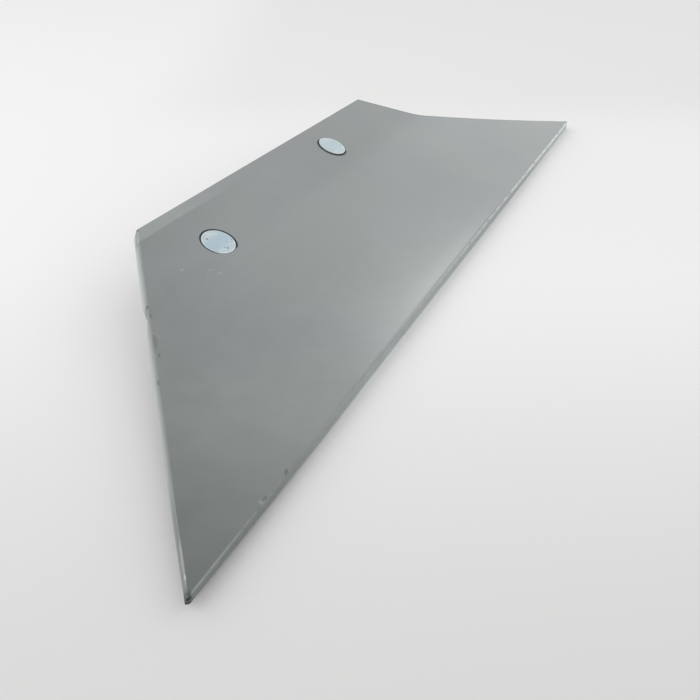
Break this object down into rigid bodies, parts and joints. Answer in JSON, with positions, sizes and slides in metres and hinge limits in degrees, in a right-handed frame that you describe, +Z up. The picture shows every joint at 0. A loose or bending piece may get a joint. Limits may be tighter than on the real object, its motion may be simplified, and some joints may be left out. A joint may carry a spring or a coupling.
{
  "type": "ploughshare",
  "caption": "Right-hand trapezoid ploughshare: a gently curved steel plate with a turned-up bolting land, held by flush countersunk plough bolts with nuts.",
  "frame": {"origin": "middle of the footprint of the share as it lies on the ground, at ground level", "axes": "+X along the cutting edge from the point to the wing corner, +Y from the cutting edge towards the top edge with the bolts, +Z up, out of the concave working face"},
  "size_m": [0.683, 0.1842, 0.0452],
  "materials": {
    "painted_blade": "satin silver-grey paint",
    "zinc_steel": "bright zinc plate"
  },
  "bodies": {
    "root": {"share_blade": "painted_blade", "front_bolt": "zinc_steel", "rear_bolt": "zinc_steel", "front_nut": "zinc_steel", "rear_nut": "zinc_steel"}
  },
  "joints": []
}
